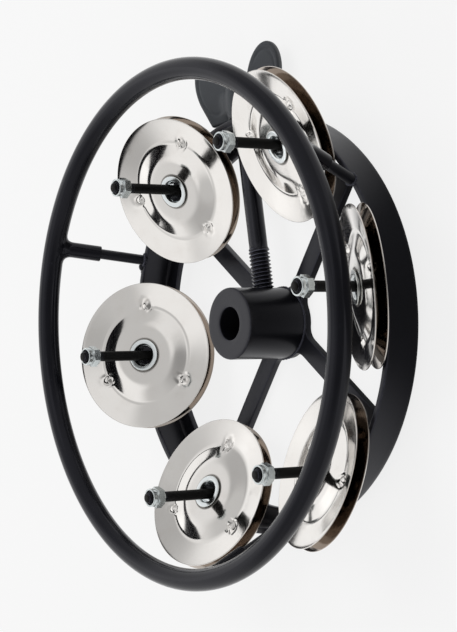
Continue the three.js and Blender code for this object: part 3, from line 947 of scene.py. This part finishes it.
def studs():
    start = STUD_TIP - STUD_THREAD_LENGTH
    tip = [(STUD_RADIUS - inset, STUD_TIP + height) for inset, height in STUD_TIP_PROFILE]
    threaded = np.arange(start + 0.1, tip[0][1], STUD_PITCH / STUD_THREAD_STEPS)
    heights = np.concatenate([np.linspace(SEAT, start, 14), threaded])
    outline = [(0, SEAT), *((STUD_RADIUS, h) for h in heights), *tip, (0, tip[-1][1])]
    root = STUD_RADIUS - STUD_THREAD_DEPTH
    cut = thread(STUD_RADIUS, root, STUD_PITCH, start, STUD_TIP + 0.2)
    form = lathe(outline, STUD_STEPS, closed=False, shape=cut)
    for number in range(1, STUD_COUNT + 1):
        made = solid(f"stud_{number}", moved(form, stud_place(number)))
        piece(made, STUD, "frame", [f"jingle_stud_{number}"])


def hexagon(radius, height, turns):
    flat = NUT_FLATS / 2 / np.cos((turns + math.pi / 6) % (math.pi / 3) - math.pi / 6)
    return np.minimum(radius, flat)


def nuts():
    """Hexagon with turned chamfers, and the collar that holds the nylon ring, in one outline."""
    corner = NUT_FLATS / math.sqrt(3) + 0.1
    face = NUT_FLATS / 2 - 0.15
    outline = rounded([
        (NUT_BORE, NUT_REAR, 0.2), (face, NUT_REAR, 0.1), (corner, NUT_REAR + NUT_CHAMFER, 0.1),
        (corner, NUT_SHOULDER - NUT_SHOULDER_CHAMFER, 0.1), (NUT_NECK + 0.1, NUT_SHOULDER - 0.2, 0.1),
        (NUT_NECK, NUT_SHOULDER + 0.1, 0.1), (NUT_COLLAR, NUT_SHOULDER + 0.35, 0.15),
        (NUT_COLLAR, NUT_FRONT, 0.75), (NUT_CAVITY - 0.2, NUT_FRONT, 0.25),
        (NUT_CAVITY - 0.25, INSERT_FRONT + 0.15, 0.1), (NUT_CAVITY, INSERT_FRONT - 0.1, 0.1),
        (NUT_CAVITY, NUT_SHOULDER, 0), (NUT_BORE, NUT_SHOULDER, 0),
    ])
    nut = lathe(outline, NUT_STEPS, shape=hexagon)
    ring = lathe(rounded([
        (INSERT_INNER, NUT_SHOULDER, 0.1), (INSERT_OUTER, NUT_SHOULDER, 0.1),
        (INSERT_OUTER, INSERT_FRONT, 0.25), (INSERT_INNER, INSERT_FRONT, 0.3),
    ]), INSERT_STEPS)
    for number in range(1, STUD_COUNT + 1):
        made = solid(f"nut_{number}", moved(nut, stud_place(number)))
        piece(made, ZINC, "frame", [f"lock_nut_{number}"], crease=28)
        made = solid(f"nylon_ring_{number}", moved(ring, stud_place(number)))
        piece(made, NYLON, "frame", [f"nut_insert_{number}"])


# Jingles

def jingle_form():
    """One pressed disc in its own frame, the pair's middle plane at height 0."""
    outside = [(radius, height + JINGLE_SHEET, edge) for radius, height, edge in INSIDE_FACE][::-1]
    outline = rounded(INSIDE_FACE + outside, 6)
    outline = denser(outline, 0.33, BUMP_CIRCLE - BUMP_REACH, BUMP_CIRCLE + BUMP_REACH)
    return lathe(denser(outline, 1.6), DISC_STEPS)


def bumped(form, first_angle):
    """Adds the small bumps along the valley, which both faces of the sheet follow."""
    points, faces = form
    points = points.copy()
    for i in range(BUMP_COUNT):
        angle = math.radians(first_angle + 360 / BUMP_COUNT * i)
        offset = points[:, :2] - np.array([math.cos(angle), math.sin(angle)]) * BUMP_CIRCLE
        distance = np.linalg.norm(offset, axis=1)
        bump = BUMP_HEIGHT * np.exp(-(distance / BUMP_WIDTH) ** 2)
        moat = MOAT_DEPTH * np.exp(-((distance - MOAT_RADIUS) / MOAT_WIDTH) ** 2)
        points[:, 2] += bump - moat
    return points, faces


def waved(form, seed):
    """The slow warp that pressing leaves in thin sheet."""
    points, faces = form
    points = points.copy()
    rng = np.random.default_rng(seed)
    radius = np.hypot(points[:, 0], points[:, 1])
    angle = np.arctan2(points[:, 1], points[:, 0])
    for lobes in (2, 3, 5):
        height = WARP / lobes * rng.uniform(0.4, 1) * (radius / JINGLE_RADIUS) ** 2
        points[:, 2] += height * np.cos(lobes * angle + rng.uniform(0, 6.28))
    return points, faces


def crooked(degrees):
    """A disc's small tilt on its eyelet, about the middle of its own hole."""
    hole = Matrix.Translation((0, 0, CROWN_HEIGHT + JINGLE_SHEET / 2))
    return hole @ Matrix.Rotation(math.radians(-degrees), 4, "Y") @ hole.inverted()


def mark_disc(mesh, place):
    """Stores each point's distance from the disc's axis, and 1 on the face inside the pair, which the nickel
    gives a painted shade.
    """
    offset = places_of(mesh) - np.array(place.translation)
    axis = np.array(place.to_3x3() @ Vector((0, 0, 1)))
    radii = np.linalg.norm(offset - np.outer(offset @ axis, axis), axis=1) * MM
    face_radii, face_heights, _ = np.array(INSIDE_FACE).T
    middle = np.interp(radii / MM, face_radii, face_heights) + JINGLE_SHEET / 2
    store(mesh, "spin", radii)
    store(mesh, "inside", np.clip(0.5 + (middle - offset @ axis) / JINGLE_SHEET * 4, 0, 1))


def jingles():
    disc = jingle_form()
    for number in range(1, STUD_COUNT + 1):
        for side, flip in (("front", 0), ("rear", 180)):
            form = waved(bumped(disc, BUMP_TURNS[number] + flip / 3), number * 2 + flip)
            place = pair_place(number) @ Matrix.Rotation(math.radians(flip), 4, "X")
            if side == "front":
                place = place @ crooked(FRONT_TILTS[number])
            made = solid(f"{side}_disc_{number}", moved(form, place))
            mark_disc(made.data, place)
            piece(made, NICKEL, f"{side}_{number}", [f"{side}_jingle_{number}"])


def eyelets():
    """A hollow eyelet through each pair, its lip rolled over on both sides."""
    front_half = [
        (EYELET_BARREL, EYELET_LIP_BACK, 0.15), (EYELET_LIP, EYELET_LIP_BACK, 0.22),
        (EYELET_LIP, EYELET_FACE, 0.26), (EYELET_BORE + EYELET_FLARE, EYELET_FACE, 0.4),
        (EYELET_BORE, EYELET_FACE - EYELET_FLARE_DEPTH, 1.0),
    ]
    rear_half = [(radius, -height, edge) for radius, height, edge in front_half][::-1]
    form = lathe(rounded(front_half + rear_half, 5), EYELET_STEPS)
    for number in range(1, STUD_COUNT + 1):
        made = solid(f"eyelet_{number}", moved(form, pair_place(number)))
        piece(made, EYELET, f"pair_{number}", [f"jingle_eyelet_{number}"])


# Wing screw

def wing_screw():
    threaded = np.arange(SCREW_TIP + 1.2, THREAD_END + 0.6, THREAD_PITCH / THREAD_STEPS)
    plain = np.linspace(THREAD_END + 3, SHANK_END - 0.3, 20)
    outline = [
        (0, SCREW_TIP), (THREAD_ROOT - 0.4, SCREW_TIP), (THREAD_ROOT + 0.05, SCREW_TIP + 0.45),
        *((THREAD_CREST, h) for h in threaded), (SHANK_RADIUS, THREAD_END + 1.2),
        *((SHANK_RADIUS, h) for h in plain), (SHANK_RADIUS - 0.3, SHANK_END), (0, SHANK_END),
    ]
    cut = thread(THREAD_CREST, THREAD_ROOT, THREAD_PITCH, SCREW_TIP - 1, THREAD_END + 1.0)
    form = lathe(outline, SCREW_STEPS, closed=False, shape=cut)
    made = solid("clamp_screw", moved(form, along_y(SCREW_HEIGHT)))
    piece(made, SCREW_PAINT, "screw", ["wing_screw"])


def lobe_outline():
    """One side of the wing, from the base's corner round the oval lobe to its root at the boss."""
    lean = math.radians(LOBE_LEAN)
    centre = np.array([LOBE_OFFSET, LOBE_HEIGHT])
    along = np.array([math.sin(lean), math.cos(lean)])
    across = np.array([math.cos(lean), -math.sin(lean)])

    def touching(x, y, side):
        """The oval's angle at which a line from a point touches it."""
        offset = np.array([x, y]) - centre
        unit = np.array([offset @ across / LOBE_HALF_WIDTH, offset @ along / LOBE_HALF_LENGTH])
        towards = math.atan2(unit[1], unit[0]) % (2 * math.pi)
        return towards + side * math.acos(min(1, 1 / np.linalg.norm(unit)))

    first = touching(WING_HALF_WIDTH, 0, 1) - 2 * math.pi
    last = touching(ROOT_HALF_WIDTH, ROOT_HEIGHT, -1)
    arc = [centre + across * LOBE_HALF_WIDTH * math.cos(a) + along * LOBE_HALF_LENGTH * math.sin(a)
           for a in np.linspace(first, last, LOBE_STEPS)]
    return [np.array([WING_HALF_WIDTH, 0]), *arc, np.array([ROOT_HALF_WIDTH, ROOT_HEIGHT])]


def rim_line(places):
    """Depth of the moulded line that runs inside each lobe's outline."""
    lean = math.radians(LOBE_LEAN)
    x, y = np.abs(places[:, 0]) - LOBE_OFFSET, places[:, 1] - LOBE_HEIGHT
    across = (x * math.cos(lean) - y * math.sin(lean)) / LOBE_HALF_WIDTH
    along = (x * math.sin(lean) + y * math.cos(lean)) / LOBE_HALF_LENGTH
    inset = (1 - np.hypot(across, along)) * LOBE_HALF_WIDTH
    fade = np.clip((np.abs(places[:, 0]) - BOSS_RADIUS - 2) / 3, 0, 1)
    return RIM_LINE_DEPTH * fade * np.exp(-((inset - RIM_LINE_INSET) / RIM_LINE_WIDTH) ** 2)


def from_plate(points):
    """Distance to the wing's flat sides, and its direction."""
    normal = np.zeros_like(points)
    normal[:, 2] = np.sign(points[:, 2])
    return np.abs(points[:, 2]) - WING_THICKNESS / 2, normal


def wing_filleted(places):
    """The wing's points, with the fillet that runs from the boss out on to both flat sides."""
    beside, along, off = np.hypot(places[:, 0], places[:, 2]), places[:, 1], np.abs(places[:, 2])
    fillet = (beside < WING_BLEND_WITHIN) & (beside > BOSS_RADIUS - 1)
    fillet &= (along > WING_BLEND_FROM) & (along < WING_BLEND_TO)
    fillet &= off > WING_THICKNESS / 2 - WING_EDGE * 0.6
    begin, finish = WING_BLEND_FADE
    lift = np.clip((along - WING_BLEND_FROM) / begin, 0, 1) * np.clip((WING_BLEND_TO - along) / finish, 0, 1)
    boss = from_bar(np.zeros(3), np.array([0.0, 1.0, 0.0]), 0, BOSS_LENGTH, BOSS_RADIUS)
    flowing = blended(places[fillet], from_plate, boss, WING_BLEND)
    filleted = places.copy()
    filleted[fillet] += (flowing - places[fillet]) * lift[fillet][:, None]
    return filleted


def wing_head():
    """The wing with its boss and socket, made even by a fine remesh before its fillet and rim line."""
    right = lobe_outline()
    left = [np.array([-p[0], p[1]]) for p in right[::-1]]
    made = plate("wing", [right + left], WING_THICKNESS, WING_EDGE)
    boss_outline = rounded([
        (SOCKET_RADIUS, 0, 0.2), (BOSS_RADIUS, 0, 0.5), (BOSS_RADIUS, BOSS_LENGTH, 2.2), (0, BOSS_LENGTH, 0),
        (0, SOCKET_DEPTH, 0), (SOCKET_RADIUS, SOCKET_DEPTH, 0),
    ])
    socket = bar(SOCKET_RADIUS, -SOCKET_OVERCUT, SOCKET_DEPTH, BOSS_STEPS)
    combine(made, moved(socket, along_y(0)), "DIFFERENCE")
    combine(made, moved(lathe(boss_outline, BOSS_STEPS), along_y(0)), "UNION")
    remesh = made.modifiers.new("even", "REMESH")
    remesh.mode = "VOXEL"
    remesh.voxel_size = WING_VOXEL * MM
    smooth = made.modifiers.new("smooth", "SMOOTH")
    smooth.factor = 0.5
    smooth.iterations = WING_SMOOTHINGS
    settle(made)
    places = wing_filleted(places_of(made.data))
    flat = np.abs(places[:, 2]) > WING_THICKNESS / 2 - 0.2
    places[:, 2] -= np.sign(places[:, 2]) * rim_line(places) * flat
    turn = Matrix.Rotation(math.radians(WING_TURN), 4, "Y")
    places, _ = moved((places, None), Matrix.Translation((0, WING_BASE, SCREW_HEIGHT)) @ turn)
    move_points(made.data, places)
    piece(made, WING, "wing", ["wing_head"], crease=60)


# Welds

def bead_tree():
    """A node group that lays overlapping drops of weld along the edges of a mesh."""
    tree = bpy.data.node_groups.new("weld_beads", "GeometryNodeTree")
    kinds = {"Geometry": "Geometry", "Spacing": "Float", "Width": "Float", "Uneven": "Float", "Seed": "Int",
             "Material": "Material"}
    for name, kind in kinds.items():
        tree.interface.new_socket(name, in_out="INPUT", socket_type="NodeSocket" + kind)
    tree.interface.new_socket("Geometry", in_out="OUTPUT", socket_type="NodeSocketGeometry")

    def node(kind, inputs, output=0, **settings):
        made = tree.nodes.new(kind)
        for name, value in settings.items():
            setattr(made, name, value)
        for name, value in inputs.items():
            if isinstance(value, bpy.types.NodeSocket):
                tree.links.new(value, made.inputs[name])
            else:
                made.inputs[name].default_value = value
        return made.outputs[output] if made.outputs else None

    given = tree.nodes.new("NodeGroupInput").outputs
    spacing, uneven = given["Spacing"], given["Uneven"]
    path = node("GeometryNodeMeshToCurve", {"Mesh": given["Geometry"]})
    even = node("GeometryNodeResampleCurve", {"Curve": path, "Length": spacing}, mode="LENGTH")
    drop = node("GeometryNodeMeshUVSphere", {"Segments": 10, "Rings": 6, "Radius": 0.5})
    tangent = node("GeometryNodeInputTangent", {})
    facing = node("FunctionNodeAlignRotationToVector", {"Vector": tangent}, axis="X")
    low = node("ShaderNodeMath", {0: 1.0, 1: uneven}, operation="SUBTRACT")
    high = node("ShaderNodeMath", {0: 1.0, 1: uneven}, operation="ADD")
    limits = {"Min": low, "Max": high, "Seed": given["Seed"]}
    size = node("FunctionNodeRandomValue", limits, RANDOM_FLOAT, data_type="FLOAT")
    width = node("ShaderNodeMath", {0: size, 1: given["Width"]}, operation="MULTIPLY")
    length = node("ShaderNodeMath", {0: spacing, 1: BEAD_OVERLAP}, operation="MULTIPLY")
    scale = node("ShaderNodeCombineXYZ", {"X": length, "Y": width, "Z": width})
    laid = node("GeometryNodeInstanceOnPoints", {
        "Points": even, "Instance": drop, "Rotation": facing, "Scale": scale})
    real = node("GeometryNodeRealizeInstances", {"Geometry": laid})
    painted = node("GeometryNodeSetMaterial", {"Geometry": real, "Material": given["Material"]})
    node("NodeGroupOutput", {"Geometry": painted})
    return tree


def circle_path(radius, height, count=BEAD_RUN_STEPS):
    angles = np.radians(np.linspace(0, 360, count, endpoint=False))
    points = np.stack([radius * np.cos(angles), radius * np.sin(angles), np.full(count, height)], axis=1)
    return points, [(i, (i + 1) % count) for i in range(count)]


def line_path(start, end):
    return np.array([start, end]), [(0, 1)]


def bead_runs():
    """Paths of the beads: round the hub, round each stud, along each arm's end and round each rod's foot."""
    corner = SEAT - BEAD_SINK
    stud_ring = circle_path(STUD_RADIUS + 0.35, SEAT + FLANGE_THICKNESS + BEAD_SINK)
    paths = [circle_path(HUB_RADIUS + 0.05, corner, 2 * BEAD_RUN_STEPS)]
    paths += [moved(stud_ring, stud_place(n + 1)) for n in range(STUD_COUNT)]
    beside, inset = ARM_WIDTH / 2 + 0.1, ARM_WIDTH / 2 - 0.6
    for i in range(ARM_COUNT):
        arm = turn_z(ARM_FIRST + 360 / ARM_COUNT * i)
        lines = [line_path((FLANGE_INNER + 0.4, side * beside, SEAT - 0.5),
                           (ARM_END - 0.6, side * beside, SEAT - 0.5)) for side in (-1, 1)]
        lines.append(line_path((FLANGE_INNER - 0.1, -inset, corner), (FLANGE_INNER - 0.1, inset, corner)))
        paths += [moved(line, arm) for line in lines]
    foot = circle_path(ROD_RADIUS + 0.02, rod_run - BEAD_SINK)
    return together(*paths, *(moved(foot, rod_place(degrees)) for degrees in ROD_ANGLES))


def weld_beads():
    points, edges = bead_runs()
    mesh = bpy.data.meshes.new("weld_paths")
    mesh.from_pydata((points * MM).tolist(), edges, [])
    made = object_of("weld_bead_runs", mesh)
    values = {"Spacing": BEAD_SPACING * MM, "Width": BEAD_WIDTH * MM, "Uneven": BEAD_UNEVEN,
              "Seed": BEAD_SEED, "Material": WELD_PAINT}
    beads = made.modifiers.new("beads", "NODES")
    beads.node_group = bead_tree()
    for socket in beads.node_group.interface.items_tree:
        if socket.in_out == "INPUT" and socket.name in values:
            beads[socket.identifier] = values[socket.name]
    settle(made)
    piece(made, WELD_PAINT, "frame")


def weld_lumps():
    """The blobs where each stand-off rod is tacked to the hoop."""
    around = np.linspace(-math.pi / 2, math.pi / 2, 13)
    ball = np.stack([np.cos(around), LUMP_FLATNESS * np.sin(around)], axis=1)
    blobs = []
    for n, degrees in enumerate(ROD_ANGLES):
        for i, (aside, radius, height, size) in enumerate(LUMPS[n]):
            place = turn_z(degrees + aside) @ Matrix.Translation((radius, 0, height))
            blob = lathe(ball * size, LUMP_STEPS, closed=False)
            blobs.append(moved(blob, place @ Matrix.Rotation(0.7 * n + i, 4, (1, 2, 1))))
    points, faces = together(*blobs)
    wave = np.sin(points[:, 0] * 2.3 + 1) * np.sin(points[:, 1] * 2.7) * np.sin(points[:, 2] * 2.1 + 2)
    made = solid("weld_lumps", (points * (1 + LUMP_WAVINESS * wave[:, None]), faces))
    piece(made, WELD_PAINT, "frame")


# Camera, room and lamps

def camera():
    data = bpy.data.cameras.new("camera")
    data.lens = LENS
    data.sensor_width = SENSOR
    data.sensor_fit = "AUTO"
    data.clip_start = 0.01
    data.clip_end = 20
    data.dof.use_dof = False
    made = object_of("camera", data)
    turn = Matrix((CAMERA_RIGHT, CAMERA_UP, CAMERA_BACK)).transposed()
    made.matrix_world = Matrix.Translation(CAMERA_PLACE) @ turn.to_quaternion().to_matrix().to_4x4()
    bpy.context.scene.camera = made


def room():
    """Even light on dull surfaces. Metal also sees the bright wall, the lamps and the dark parts."""
    made = bpy.data.worlds.new("studio")
    bpy.context.scene.world = made
    n = Nodes(made)
    direction = n.node("ShaderNodeTexCoord", {}, {}, "Generated")

    def towards(aim, edge):
        settings, inputs = {"operation": "DOT_PRODUCT"}, {0: direction, 1: aim}
        return n.node("ShaderNodeVectorMath", settings, inputs, "Value").clamped(*edge)

    in_metal = ROOM_IN_METAL + towards((-1, 0, 0), WALL_EDGE) * WALL_LEVEL
    for _, aim, edge, level in REFLECTED:
        in_metal = in_metal + towards(aim, edge) * level
    camera_ray, metal_ray = n.rays()
    dull_ray = 1 - metal_ray - camera_ray
    level = in_metal * metal_ray + camera_ray * WHITE_GROUND + dull_ray * ROOM_LIGHT
    shader = n.node("ShaderNodeBackground", {}, {"Color": grey(1), "Strength": level})
    n.node("ShaderNodeOutputWorld", {}, {"Surface": shader})


def floor():
    """A pale floor that glows a little to the camera, so that the object's shadow on it stays light."""
    paper = Finish("floor_paper")
    camera_ray, metal_ray = paper.rays()
    x, y, _ = paper.axes()
    beside = ((y * y) ** 0.5).clamped(*BESIDE_FROM)
    left = (0 - x).clamped(*LEFT_FROM)
    in_metal = FLOOR_DIM + left * FLOOR_LEFT + beside * (1 - left) * FLOOR_BESIDE
    glow = camera_ray * FLOOR_GLOW + metal_ray * in_metal
    base = paper.mixed(paper.noise(60, 3), grey(FLOOR_PAPER * 0.99), grey(FLOOR_PAPER))
    lit = paper.mixed(glow, grey(0), grey(1))
    paper.set(Base_Color=base, Roughness=0.9, Specular_IOR_Level=0.0,
              Emission_Color=lit, Emission_Strength=1.0)
    corners = [(x * FLOOR_HALF, y * FLOOR_HALF, 0) for x, y in ((-1, -1), (1, -1), (1, 1), (-1, 1))]
    mesh = bpy.data.meshes.new("floor")
    mesh.from_pydata(corners, [], [(0, 1, 2, 3)])
    mesh.materials.append(paper.material)
    made = object_of("floor", mesh)
    made.location = (0, 0, FLOOR_HEIGHT)


def lamps():
    for name, place, aim, size, power in LAMPS:
        data = bpy.data.lights.new(name, "AREA")
        data.size = size
        data.energy = power
        made = object_of(name, data)
        made.location = place
        made.rotation_mode = "QUATERNION"
        made.rotation_quaternion = (Vector(aim) - Vector(place)).to_track_quat("-Z", "Y")
        made.visible_glossy = False


# Build

ring_cover()
ring_core()
rods()
spider()
hub()
hoop()
studs()
nuts()
jingles()
eyelets()
wing_screw()
wing_head()
weld_beads()
weld_lumps()
camera()
room()
floor()
lamps()
bpy.context.scene.view_settings.view_transform = "Standard"
